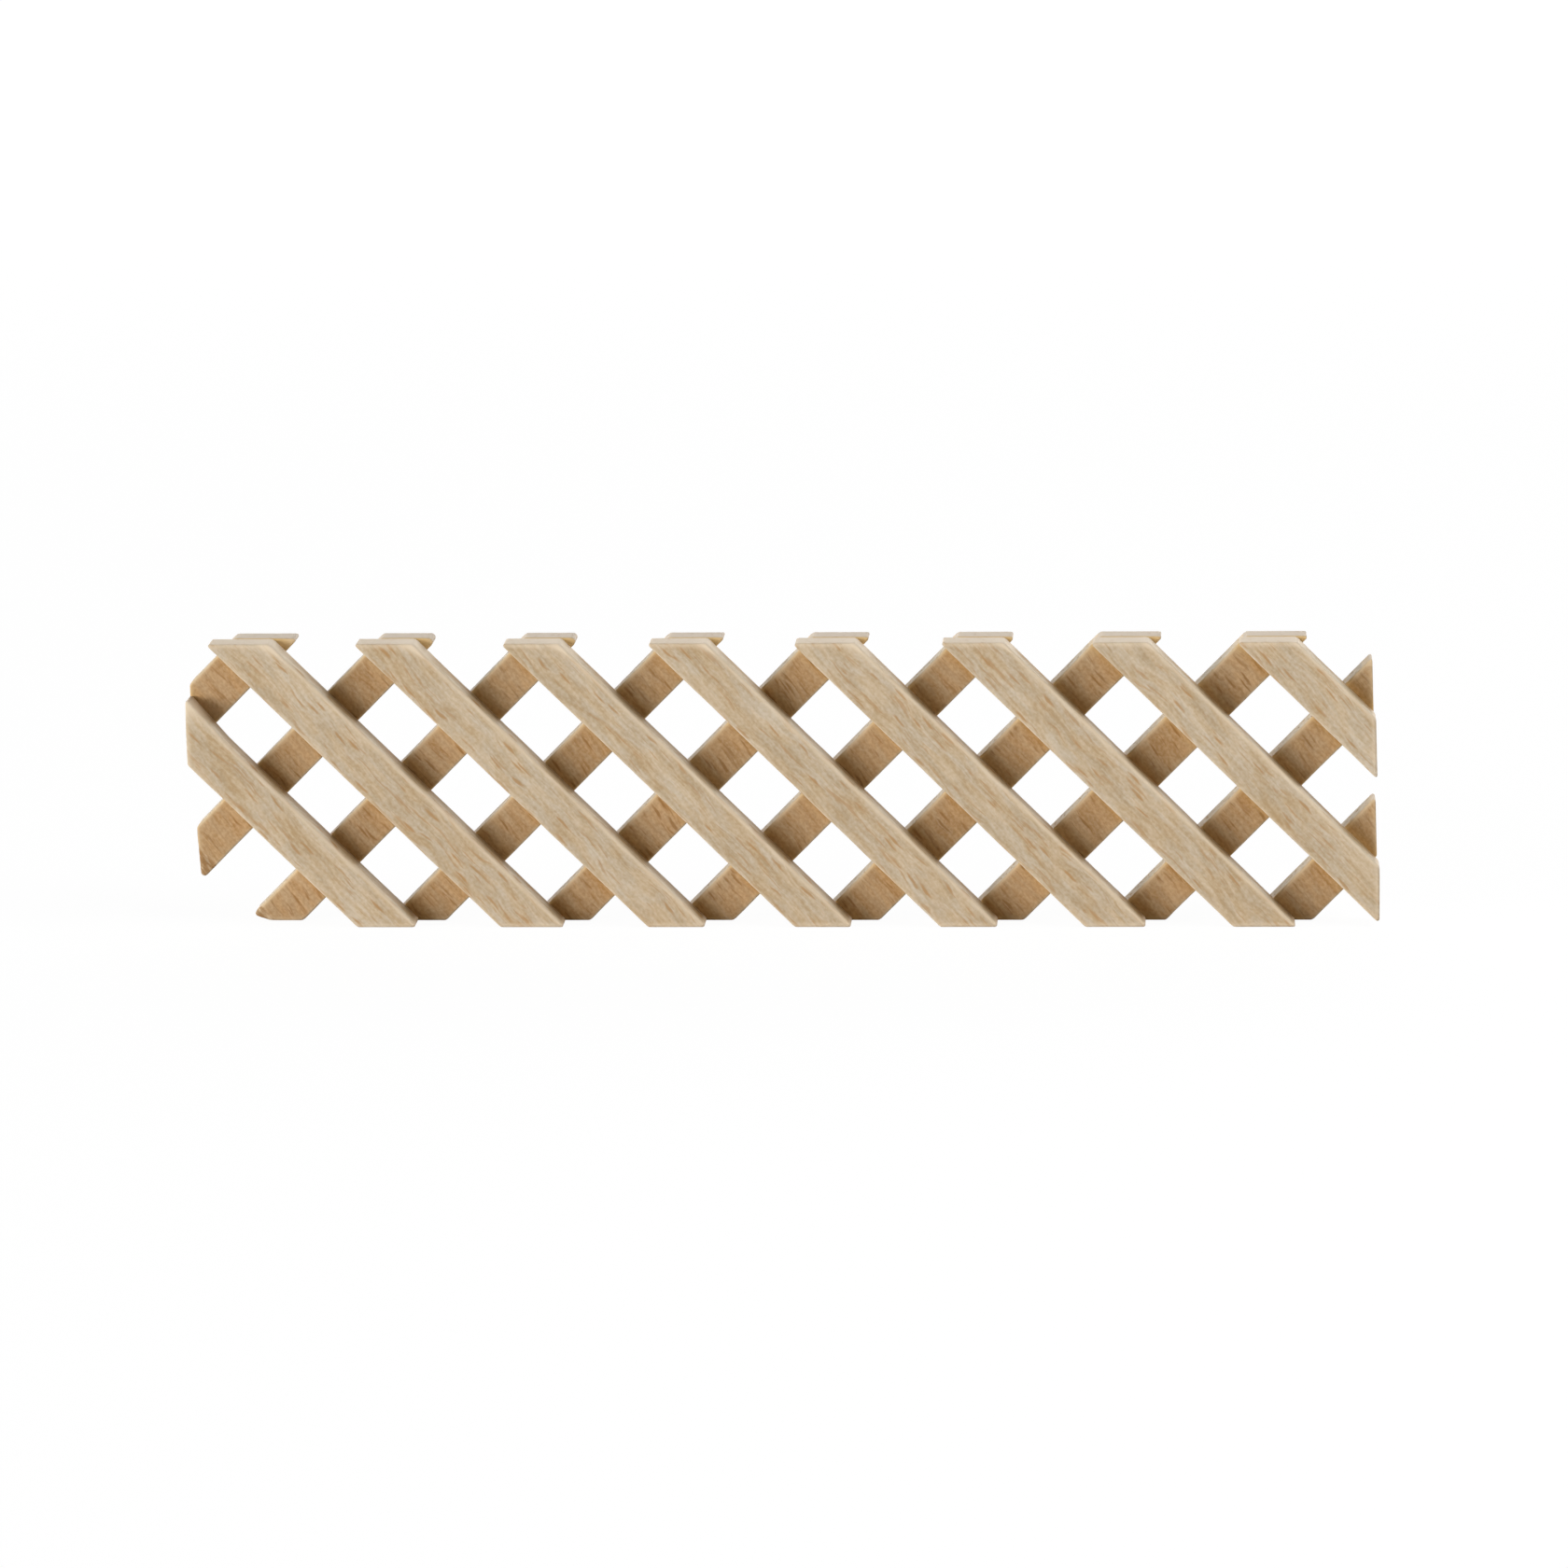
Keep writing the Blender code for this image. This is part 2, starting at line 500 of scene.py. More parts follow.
def lost_slat_cover(x, z):
    """1 where the lost corner slat was glued to the rear layer, 0 clear of it, with a ragged border."""
    lost_x = FRONT_PLACES[FRONT.whole_slat - 1] + LOST_SLAT_STEPS * PITCH / math.sin(FRONT.slope)
    distance = np.abs(above_front_line(x, z, lost_x))
    ragged = TORN_BORDER * ripple(x / MM, z / MM, BORDER_WAVE, TORN_BORDER_SEED)
    return ease((FRONT.widths[0] / 2 + ragged - distance) / TORN_BORDER)


def torn_fibres(x, z, seed):
    """Ridges of torn fibre from -1 to 1, close together across the grain and long along it."""
    across = x / MM * FIBRE_ACROSS[0] + z / MM * FIBRE_ACROSS[1]
    along = x / MM * FIBRE_ALONG[0] + z / MM * FIBRE_ALONG[1]
    return ripple(across, along, FIBRE_WAVE, seed)


# Slats

class Slat(NamedTuple):
    """How one slat was cut. Its sides are the panel's, and a torn slat's break."""

    layer: Layer
    cross_x: float
    width: float
    sides: list
    tip_radius: float
    flare: float
    seed: int


class Block(NamedTuple):
    """A slat's points on a grid (a, b, c), along, across and deep, in its own lengths.

    from_start and from_end are distances along the slat from its left end and its nearer end. The
    spread is each b's place across, from -1 to 1, and an inset is how far each c's edges are
    rounded in.
    """

    u: np.ndarray
    v: np.ndarray
    deep: np.ndarray
    from_start: np.ndarray
    from_end: np.ndarray
    spread: np.ndarray
    insets: np.ndarray


def clip(corners, normal, reach):
    """Cuts a convex outline by the line where a point's distance along the normal is the reach."""
    kept = []
    for one, other in zip(corners, corners[1:] + corners[:1]):
        past_one, past_other = one @ normal - reach, other @ normal - reach
        if past_one <= 0.0:
            kept.append(one)
        if (past_one < 0.0) != (past_other < 0.0) and past_one != past_other:
            kept.append(one + (other - one) * past_one / (past_one - past_other))
    return kept


def strip_corners(slat):
    """The corners of a straight strip trimmed by the slat's sides, in its lengths along and across."""
    along, across = slat_axes(slat.layer)
    middle = np.array((slat.cross_x, HEIGHT / 2))
    half = slat.width / 2
    corners = [np.array(corner) for corner in ((-RUN, -half), (RUN, -half), (RUN, half), (-RUN, half))]
    for normal, reach in slat.sides:
        local = np.array((normal @ along, normal @ across))
        corners = clip(corners, local, reach - normal @ middle)
    return corners


def corner_wear(slat):
    """How much rounder an upper blunt corner is at the outer face: in front only, most at the left."""
    if slat.layer is REAR:
        return 0.0
    share = slat.cross_x / FRONT.length + 0.5
    return LEFT_CORNER_WEAR + (RIGHT_CORNER_WEAR - LEFT_CORNER_WEAR) * share


def rounded_outline(slat, corners):
    """Arcs round an outline's corners, as corners, bisectors, radii, wears and directions.

    Each has a row a point. An arc touches both sides of its corner. Its middle lies on the
    bisector, a radius from each side.
    """
    draw = np.random.default_rng(slat.seed)
    _, across = slat_axes(slat.layer)
    points, bisectors, radii, wears, directions = [], [], [], [], []
    count = len(corners)
    for number in range(count):
        before = corners[number] - corners[number - 1]
        after = corners[(number + 1) % count] - corners[number]
        room = min(np.linalg.norm(before), np.linalg.norm(after)) / 2
        start = math.atan2(-before[0], before[1])
        turn = math.atan2(before[0] * after[1] - before[1] * after[0], before @ after)
        blunt = turn < math.pi / 2
        upper = corners[number][1] * across[1] > 0.0
        radius = HIGH_CORNER_RADIUS if upper else LOW_CORNER_RADIUS
        if not blunt:
            radius = slat.tip_radius
        radius = min(radius * draw.uniform(SMALLEST_SHARE, LARGEST_SHARE), room / math.tan(turn / 2))
        wear = corner_wear(slat) if blunt and upper else 0.0
        halfway = start + turn / 2
        bisector = np.array((math.cos(halfway), math.sin(halfway))) / math.cos(turn / 2)
        angles = start + turn * np.linspace(0.0, 1.0, COUNT_CORNER)
        points.append(np.repeat(corners[number][None], COUNT_CORNER, 0))
        bisectors.append(np.repeat(bisector[None], COUNT_CORNER, 0))
        radii.append(np.full((COUNT_CORNER, 1), radius))
        wears.append(np.full((COUNT_CORNER, 1), wear))
        directions.append(np.stack([np.cos(angles), np.sin(angles)], 1))
    return [np.concatenate(rows) for rows in (points, bisectors, radii, wears, directions)]


def end_reach(outline, inset, worn, across, end):
    """How far along the slat its end lies, at each distance across it: the end is -1 or 1.

    Moved inwards by the inset, an outline's arcs lose it from their radii, and gain their wear
    times the worn share. An arc with a radius below the inset becomes a sharp corner.
    """
    corners, bisectors, radii, wears, directions = outline
    rounds = np.maximum(radii - inset, 0.0) + worn * wears
    points = corners - (rounds + inset) * bisectors + rounds * directions
    chain = points[end * bisectors[:, 0] > 0.0]
    order = np.argsort(chain[:, 1])
    return np.interp(across, chain[order, 1], chain[order, 0])


def edge_section(thickness):
    """Depths from the inner face and insets, down a slat's side with a quarter round at both ends."""
    quarter = np.linspace(0.0, math.pi / 2, COUNT_ARRIS)
    inner = INNER_ARRIS * np.stack([1.0 - np.cos(quarter), 1.0 - np.sin(quarter)])
    outer = OUTER_ARRIS * np.stack([np.sin(quarter), 1.0 - np.cos(quarter)])
    outer[0] += thickness - OUTER_ARRIS
    flat = np.linspace(INNER_ARRIS, thickness - OUTER_ARRIS, COUNT_DEEP)[1:-1]
    return np.concatenate([inner, np.stack([flat, np.zeros(flat.size)]), outer], axis=1)


def sawn_block(slat):
    """The slat as it comes from the saw, with its edges rounded.

    c sets the depth and the inset, from the worn inner edges to the outer ones. b runs across
    between the inset sides, and a between the two ends at that b and c. The saw's marks lie under
    both ends' nominal places.
    """
    corners = strip_corners(slat)
    outline = rounded_outline(slat, corners)
    depths, insets = edge_section(HALF_DEPTH - HALF_SEAM)
    worn = np.where(depths > HALF_DEPTH / 2, insets / OUTER_ARRIS, 0.0)

    even = np.linspace(-1.0, 1.0, COUNT_ACROSS)
    spread = (EVEN_SHARE * even + CROWDED_SHARE * np.sin(even * math.pi / 2))[:, None]
    across = spread * (slat.width / 2 - insets)
    levels = range(insets.size)
    start, end = (
        np.stack([end_reach(outline, insets[c], worn[c], across[:, c], side) for c in levels], 1)
        for side in (-1, 1)
    )
    sawing = SAW_MARK * (1.0 + ripple(across / MM, depths[None] / MM, SAW_MARK_WAVE, slat.seed + 1)) / 2
    start = start + sawing
    end = end - sawing[::-1]

    length = np.ptp([corner[0] for corner in corners])
    shares = np.linspace(0.0, 1.0, int(length / STEP_ALONG))[:, None, None]
    u = start + (end - start) * shares
    return Block(
        u=u,
        v=np.broadcast_to(across, u.shape),
        deep=np.broadcast_to(depths, u.shape),
        from_start=u - start,
        from_end=np.minimum(u - start, end - u),
        spread=spread,
        insets=insets,
    )


def hand_worked(slat, block):
    """The block with sides that wander and are nibbled, and an outer face planed slightly hollow."""
    away = ease(block.from_end / CALM_END)
    wander = ripple(block.u / MM, block.spread * WANDER_ACROSS, WANDER_WAVE, slat.seed + 2)
    nibble = ripple(block.u / MM, block.spread * NIBBLE_ACROSS, NIBBLE_WAVE, slat.seed + 3)
    hollow = ripple(block.u / MM, block.v / MM, HOLLOW_WAVE, slat.seed + 4)
    lowering = FACE_HOLLOW * (hollow - 1.0) / 2
    return block._replace(
        v=block.v + (SIDE_WANDER * wander + SIDE_NIBBLE * nibble) * away,
        deep=block.deep + lowering * (block.deep / HALF_DEPTH) ** 2,
    )


def in_panel(slat, block):
    """A block's X and Z in the panel. A flare lifts the slat's upper edge towards the left end."""
    along, across = slat_axes(slat.layer)
    x = slat.cross_x + block.u * along[0] + block.v * across[0]
    z = HEIGHT / 2 + block.u * along[1] + block.v * across[1]
    upwards = slat.flare * np.clip((FLARE_START - x) / FLARE_RUN, 0.0, 1.0)
    return x, z + upwards * ease((block.v / slat.width) + 0.5)


def pale_masks(slat, block, x, z):
    """Where the wood is pale: its edges, from wear and painted highlight, and its sawn ends with the sides
    that start as pale.

    Pale edges are where a face is near to a side or an end, and the upper corner at a front
    slat's left end. The upper edges are paler than the lower ones: a painted highlight of light from above.
    """
    _, across = slat_axes(slat.layer)
    upper = block.v * across[1] > 0.0
    to_side = slat.width / 2 - np.abs(block.v)
    to_end = block.from_end / math.sqrt(2.0)
    to_face = np.minimum(HALF_DEPTH - HALF_SEAM - block.deep, block.deep)

    rear_tip = (slat.layer is REAR) * (z > HEIGHT - TIP_DEPTH)
    tip_rim = LEFT_TIP_RIM + (RIGHT_TIP_RIM - LEFT_TIP_RIM) * (x / REAR.length + 0.5)
    # The upper edges' rims are wider and paler than the lower ones: painted highlight of light from above
    near_side = fading(to_side, np.where(upper, UPPER_RIM, LOWER_RIM))
    near_end = fading(to_end, np.where(rear_tip, tip_rim, END_RIM))
    near_face = fading(to_face, FACE_RIM)
    pale_side = near_side * np.where(upper, 1.0, FAINT_RIM_SHARE)
    pale_end = near_end * np.where(rear_tip, 1.0, FAINT_RIM_SHARE)
    pale_rim = np.maximum(near_face * np.maximum(pale_side, pale_end), pale_side * near_end)

    corner_rim = CORNER_RIM + CORNER_RIM_PER_WEAR * corner_wear(slat)
    to_corner = to_side + block.from_start / math.sqrt(2.0)
    pale_corner = (slat.layer is FRONT) * upper * fading(to_corner, corner_rim)

    flat_end = ease((to_face - FLAT_END_START) / FLAT_END_RUN)
    fresh_side = PALE_SIDE_STRENGTH * ease(1.0 - block.from_start / PALE_SIDE_RUN)
    pale_upper_side = (slat.layer is FRONT) * side_mask(block) * upper * fresh_side
    return {
        "edge": np.maximum(pale_rim, pale_corner),
        "sawn": np.maximum(fading(to_end, SAWN_RIM) * flat_end, pale_upper_side),
    }


def side_mask(block):
    """1 on the slat's upright sides, 0 on its faces and its rounded edges."""
    return (np.abs(block.spread) > SIDE_SPREAD) * ease(1.0 - block.insets / SIDE_INSET)


def face_masks(slat, block, x, z, joint, torn):
    """The sides, the painted shade that grows towards the seam on them, the milled face, the torn patch and
    the painted shade in the rear face's crevices.
    """
    to_side = slat.width / 2 - np.abs(block.v)
    inside = ease((to_side - MILLED_START) / MILLED_RUN)
    return {
        "side": np.broadcast_to(side_mask(block), block.u.shape),
        # Painted shade: 1 at the seam, fading towards the outer face, for the sides' darker colour
        "seam_shade": 1.0 - (np.clip(block.deep, 0.0, HALF_DEPTH) / HALF_DEPTH) ** SEAM_SHADE_POWER,
        "milled": ease((MILLED_DEPTH - block.deep) / MILLED_DEPTH) * inside,
        "torn": torn,
        # Painted shade on the rear layer's inner face, fading with the distance from the nearest front
        # slat's edge
        "painted_crevice_shade": joint * fading(front_clearance(x, z), CREVICE_SHADE_REACH),
    }


def block_faces(numbers):
    """Quads over the six sides of a block of numbered grid points, wound to face outwards."""
    sides = (
        numbers[0].T,
        numbers[-1],
        numbers[:, 0],
        numbers[:, -1].T,
        numbers[:, :, 0].T,
        numbers[:, :, -1],
    )
    faces = [
        np.stack([side[:-1, :-1], side[1:, :-1], side[1:, 1:], side[:-1, 1:]], -1).reshape(-1, 4)
        for side in sides
    ]
    return np.concatenate(faces)


def mesh_object(name, points, faces, masks, material):
    """A closed smooth mesh with a float attribute for each mask."""
    mesh = bpy.data.meshes.new(name)
    mesh.from_pydata(points.tolist(), [], faces)
    for mask_name, values in masks.items():
        attribute = mesh.attributes.new(mask_name, "FLOAT", "POINT")
        attribute.data.foreach_set("value", values.astype(np.float32))
    mesh.materials.append(material)
    mesh.shade_smooth()
    mesh.set_sharp_from_angle(angle=SHARP_ANGLE)
    piece = bpy.data.objects.new(name, mesh)
    bpy.context.scene.collection.objects.link(piece)
    return piece


def slat_object(name, slat, material):
    """A slat as the surface of its block of points, torn where the lost slat was glued to it."""
    block = hand_worked(slat, sawn_block(slat))
    x, z = in_panel(slat, block)
    joint = (slat.layer is REAR) * ease(1.0 - block.deep / JOINT_DEPTH)
    torn = lost_slat_cover(x, z) * joint
    fibres = 1.0 + TORN_UNEVENNESS * torn_fibres(x, z, slat.seed + 5)
    block = block._replace(deep=block.deep + torn * TORN_DEPTH * fibres / (1.0 + TORN_UNEVENNESS))
    y = slat.layer.side * (HALF_SEAM + block.deep)

    shown = np.ones(y.shape, dtype=bool)
    shown[1:-1, 1:-1, 1:-1] = False
    numbers = np.full(y.shape, -1)
    numbers[shown] = np.arange(np.count_nonzero(shown))

    masks = pale_masks(slat, block, x, z) | face_masks(slat, block, x, z, joint, torn)
    shown_masks = {mask: values[shown] for mask, values in masks.items()}
    grid = np.stack([x, y, z], -1)
    return mesh_object(name, grid[shown], block_faces(numbers).tolist(), shown_masks, material)


# Glue

def glue_pad(centre_x, centre_z, reach, seed):
    """A flat round pad of dried glue: a ball's latitudes and longitudes, squashed to a thin slab.

    A point at latitude p and longitude q lies at reach times cos(p) to a low power from the middle,
    with a wavy rim, and at sin(p) times half the pad's thickness from the seam.
    """
    draw = np.random.default_rng(seed)
    waves = draw.uniform(0.0, 2.0 * math.pi, 3)
    latitude = np.linspace(-math.pi / 2, math.pi / 2, COUNT_GLUE_RINGS + 2)[1:-1, None]
    longitude = np.linspace(0.0, 2.0 * math.pi, COUNT_GLUE_SPOKES, endpoint=False)[None]
    few, many = GLUE_RIM_WAVES
    wavy = 2.0 + np.sin(few * longitude + waves[0]) + np.sin(many * longitude + waves[1])
    spread = reach * (1.0 - GLUE_WAVE * wavy) * np.cos(latitude) ** GLUE_BLUNTNESS
    x = centre_x + spread * np.cos(longitude)
    z = centre_z + spread * np.sin(longitude)
    y = np.broadcast_to(HALF_GLUE * np.sin(latitude), x.shape)
    rings = np.stack([x, y, z], -1)
    poles = np.array([[centre_x, -HALF_GLUE, centre_z], [centre_x, HALF_GLUE, centre_z]])
    points = np.concatenate([rings.reshape(-1, 3), poles])

    numbers = np.arange(x.size).reshape(x.shape)
    after = np.roll(numbers, -1, axis=1)
    quads = np.stack([numbers[:-1], numbers[1:], after[1:], after[:-1]], -1).reshape(-1, 4)
    front_cap = np.stack([np.full(x.shape[1], x.size), numbers[0], after[0]], -1)
    rear_cap = np.stack([np.full(x.shape[1], x.size + 1), after[-1], numbers[-1]], -1)
    return points, quads.tolist() + front_cap.tolist() + rear_cap.tolist()


def glue_pads(name, front_x, seed, material):
    """The pads behind one front slat, one at each crossing that has room for it."""
    points, faces = [], []
    for rear_x in REAR_PLACES:
        centre = crossing(front_x, rear_x)
        room = min(reach - normal @ centre for normal, reach in panel_sides(REAR.length))
        reach = min(GLUE_REACH, room - GLUE_MARGIN)
        if reach < GLUE_MARGIN:
            continue
        pad_points, pad_faces = glue_pad(*centre, reach, seed + len(points))
        count = sum(len(part) for part in points)
        points.append(pad_points)
        faces.extend([number + count for number in face] for face in pad_faces)
    return mesh_object(name, np.concatenate(points), faces, {}, material)


# Materials

def add(tree, kind, inputs=None, **settings):
    """Adds a node. An input that is a socket is linked, and any other value is set on the node."""
    node = tree.nodes.new(kind)
    for name, value in settings.items():
        setattr(node, name, value)
    for key, value in (inputs or {}).items():
        if isinstance(value, bpy.types.NodeSocket):
            tree.links.new(value, node.inputs[key])
        else:
            node.inputs[key].default_value = value
    return node


def math_node(tree, operation, one, other=0.0):
    """The result of one sum on two values or sockets."""
    return add(tree, "ShaderNodeMath", {0: one, 1: other}, operation=operation).outputs[0]


def stretched(tree, place, scale, shift=(0.0, 0.0, 0.0)):
    """A place scaled along, deep and across the grain, and shifted to another part of a pattern."""
    return add(tree, "ShaderNodeMapping", {"Vector": place, "Scale": scale, "Location": shift}).outputs[0]


def noise(tree, place, detail=2.0, roughness=0.5):
    """Smooth noise from 0 to 1, one wave to a unit of the place."""
    inputs = {"Vector": place, "Scale": 1.0, "Detail": detail, "Roughness": roughness}
    return add(tree, "ShaderNodeTexNoise", inputs).outputs["Fac"]


def between(tree, value, low, high, to_low=0.0, to_high=1.0):
    """A value's place between two bounds, eased and held at both ends."""
    inputs = {"Value": value, "From Min": low, "From Max": high, "To Min": to_low, "To Max": to_high}
    return add(tree, "ShaderNodeMapRange", inputs, interpolation_type="SMOOTHSTEP").outputs["Result"]


def patterned(tree, place, pattern):
    """One of the grain's patterns, from 0 to 1."""
    field = noise(tree, stretched(tree, place, pattern.waves, pattern.shift), roughness=pattern.roughness)
    return between(tree, field, pattern.begins, pattern.full)


def mix(tree, share, one, other, blend="MIX"):
    """Two colours mixed by a share from 0 to 1."""
    node = add(tree, "ShaderNodeMix", data_type="RGBA", blend_type=blend)
    for key, value in (("Factor", share), ("A", one), ("B", other)):
        socket = next(s for s in node.inputs if s.name == key and s.enabled)
        if isinstance(value, bpy.types.NodeSocket):
            tree.links.new(value, socket)
        else:
            socket.default_value = (*value, 1.0) if isinstance(value, tuple) else value
    return next(s for s in node.outputs if s.enabled)


def covered(tree, mask, strength, colour, cover):
    """A colour under a plain one, which covers it by a mask times a strength."""
    return mix(tree, math_node(tree, "MULTIPLY", mask, strength), colour, cover)


def weighted(tree, parts):
    """The sum of masks, each times its weight."""
    total = 0.0
    for value, weight in parts:
        inputs = {0: value, 1: weight, 2: total}
        total = add(tree, "ShaderNodeMath", inputs, operation="MULTIPLY_ADD").outputs[0]
    return total


def wandering(tree, place, scale, reach):
    """A place pushed about by slow noise, so that straight patterns bend."""
    inputs = {"Vector": stretched(tree, place, scale), "Scale": 1.0, "Detail": BEND_DETAIL}
    drift = add(tree, "ShaderNodeTexNoise", inputs)
    centre = {0: drift.outputs["Color"], 1: (MIDDLE_LEVEL, MIDDLE_LEVEL, MIDDLE_LEVEL)}
    centred = add(tree, "ShaderNodeVectorMath", centre, operation="SUBTRACT").outputs[0]
    pull = add(tree, "ShaderNodeVectorMath", {0: centred, 1: reach}, operation="MULTIPLY").outputs[0]
    return add(tree, "ShaderNodeVectorMath", {0: place, 1: pull}, operation="ADD").outputs[0]


def new_group(name, inputs, outputs):
    """An empty node group with named sockets; inputs are (name, kind, value)."""
    group = bpy.data.node_groups.new(name, "ShaderNodeTree")
    for socket_name, kind, value in inputs:
        socket = group.interface.new_socket(socket_name, in_out="INPUT", socket_type=kind)
        if value is not None:
            socket.default_value = value
    for socket_name, kind in outputs:
        group.interface.new_socket(socket_name, in_out="OUTPUT", socket_type=kind)
    return group, group.nodes.new("NodeGroupInput").outputs, group.nodes.new("NodeGroupOutput").inputs


FLOAT, COLOUR, VECTOR = "NodeSocketFloat", "NodeSocketColor", "NodeSocketVector"


def wood_tone(tree, place, fibre, given):
    """How cream the wood is: bands, streaks and fibre along the grain, and a little mottle.

    Streaks, fibre and mottle count from their middle level, so they leave the even tone alone.
    """
    bands = patterned(tree, place, BANDS)
    streaks = patterned(tree, place, STREAKS)
    mottle = patterned(tree, given["Place"], MOTTLE)
    both = STREAK_CONTRAST + FIBRE_CONTRAST
    lines = weighted(tree, [(streaks, STREAK_CONTRAST), (fibre, FIBRE_CONTRAST), (MIDDLE_LEVEL, -both)])
    clouds = weighted(tree, [(mottle, MOTTLE_CONTRAST), (MIDDLE_LEVEL, -MOTTLE_CONTRAST)])
    streaky = math_node(tree, "MULTIPLY", lines, given["Streakiness"])
    cloudy = math_node(tree, "MULTIPLY", clouds, given["Mottle"])
    return weighted(tree, [(bands, BAND_CONTRAST), (streaky, 1.0), (cloudy, 1.0), (1.0, EVEN_TONE)])


def wood_marks(tree, place):
    """The flecks, which are long cells' middles, and the dashes, where a fine noise runs high."""
    ragged = noise(tree, stretched(tree, place, RAGGED_WAVES, RAGGED_SHIFT))
    inputs = {"Vector": stretched(tree, place, CELL_WAVES, CELL_SHIFT), "Scale": 1.0, "Randomness": 1.0}
    cells = add(tree, "ShaderNodeTexVoronoi", inputs).outputs["Distance"]
    spindles = math_node(tree, "ADD", cells, math_node(tree, "MULTIPLY", ragged, RAGGEDNESS))
    flecks = between(tree, spindles, FLECK_RIM, FLECK_CORE)
    dashes = math_node(tree, "MULTIPLY", patterned(tree, place, DASHES), DASH_STRENGTH)
    return math_node(tree, "MAXIMUM", flecks, dashes)


def make_grain_group():
    """Beech figure from a place in millimetres, X along the grain, Y deep and Z across it.

    The tone moves the wood between its cream and its tan, the marks are browner, and slow patches
    are warmer or cooler. The fibre stands proud and the marks are sunk.
    """
    tree, given, out = new_group(
        "beech_grain",
        [("Place", VECTOR, None), ("Base", COLOUR, None), ("Fleck Brown", COLOUR, None),
         ("Streakiness", FLOAT, 1.0), ("Mottle", FLOAT, 1.0)],
        [("Colour", COLOUR), ("Height", FLOAT), ("Flecks", FLOAT)],
    )
    place = given["Place"]
    for waves, reach in BENDS:
        place = wandering(tree, place, waves, reach)
    fibre = patterned(tree, place, FIBRE)
    tone = wood_tone(tree, place, fibre, given)
    marks = wood_marks(tree, place)

    cream = mix(tree, 1.0, given["Base"], CREAM, "MULTIPLY")
    tan = mix(tree, 1.0, given["Base"], TAN, "MULTIPLY")
    marked = covered(tree, marks, MARK_STRENGTH, mix(tree, tone, tan, cream), given["Fleck Brown"])
    hue = mix(tree, patterned(tree, place, WARMTH), COOL, WARM)
    tree.links.new(mix(tree, 1.0, marked, hue, "MULTIPLY"), out["Colour"])
    height = weighted(tree, [(fibre, RELIEF_SHARE), (marks, -RELIEF_SHARE)])
    tree.links.new(height, out["Height"])
    tree.links.new(marks, out["Flecks"])
    return tree


def wood(name, grain, finish):
    """Beech, pale where planed, browner where milled, with pale sides that darken towards the seam in
    painted shade, sawn ends, edges pale from wear and painted highlight, and painted shade in the crevices.
    """
    material = bpy.data.materials.new(name)
    material.use_nodes = True
    tree = material.node_tree
    tree.nodes.clear()
    colours = finish.colours
    place = add(tree, "ShaderNodeTexCoord").outputs["Object"]
    turn = {"Vector": place, "Rotation": (0.0, -finish.grain_slope, 0.0), "Scale": (1 / MM, 1 / MM, 1 / MM)}
    turned = add(tree, "ShaderNodeMapping", turn).outputs[0]
    masks = {
        mask: add(tree, "ShaderNodeAttribute", attribute_name=mask).outputs["Fac"]
        for mask in ("edge", "sawn", "side", "seam_shade", "milled", "torn", "painted_crevice_shade")
    }

    face = mix(tree, masks["milled"], colours["planed"], colours["milled"])
    # Painted shade: the sides darken and brown towards the seam
    side = mix(tree, masks["seam_shade"], colours["side"], colours["shaded side"])
    inputs = {
        "Place": turned,
        "Base": mix(tree, masks["side"], face, side),
        "Fleck Brown": mix(tree, masks["milled"], colours["planed fleck"], colours["milled fleck"]),
        "Streakiness": finish.streakiness,
        "Mottle": between(tree, masks["milled"], 0.0, 1.0, finish.planed_mottle, finish.milled_mottle),
    }
    figure = add(tree, "ShaderNodeGroup", inputs, node_tree=grain)

    # Pale rims: wear, with a painted highlight on the upper edges
    colour = covered(tree, masks["edge"], EDGE_COVER, figure.outputs["Colour"], colours["edge"])
    colour = covered(tree, masks["sawn"], SAWN_COVER, colour, colours["sawn"])
    patches = math_node(tree, "MULTIPLY", masks["torn"], patterned(tree, turned, TORN_PATCHES))
    colour = covered(tree, patches, TORN_COVER, colour, colours["torn"])
    # Painted shade in the crevices beside the front slats
    colour = mix(tree, masks["painted_crevice_shade"], colour, CREVICE_PAINTED_SHADE, "MULTIPLY")
    relief = {"Height": figure.outputs["Height"], "Strength": RELIEF_STRENGTH, "Distance": RELIEF_DEPTH}
    bump = add(tree, "ShaderNodeBump", relief).outputs[0]
    rough = between(tree, figure.outputs["Flecks"], 0.0, 1.0, PLAIN_ROUGHNESS, FLECK_ROUGHNESS)
    surface = {"Base Color": colour, "Roughness": rough, "Normal": bump, "Specular IOR Level": SPECULAR}
    shader = add(tree, "ShaderNodeBsdfPrincipled", surface)
    output = add(tree, "ShaderNodeOutputMaterial")
    tree.links.new(shader.outputs[0], output.inputs["Surface"])
    return material


def dried_glue(name):
    """Thin amber glue, cloudy in patches."""
    material = bpy.data.materials.new(name)
    material.use_nodes = True
    tree = material.node_tree
    tree.nodes.clear()
    place = add(tree, "ShaderNodeTexCoord").outputs["Object"]
    scaled = stretched(tree, place, (1 / MM, 1 / MM, 1 / MM))
    cloud = between(tree, noise(tree, scaled, GLUE_CLOUD_DETAIL), *GLUE_CLOUD)
    colour = mix(tree, cloud, CLEAR_GLUE, CLOUDY_GLUE)
    rough = between(tree, cloud, 0.0, 1.0, *GLUE_ROUGHNESS)
    shader = add(tree, "ShaderNodeBsdfPrincipled", {"Base Color": colour, "Roughness": rough})
    output = add(tree, "ShaderNodeOutputMaterial")
    tree.links.new(shader.outputs[0], output.inputs["Surface"])
    return material


# Stage, lights and camera

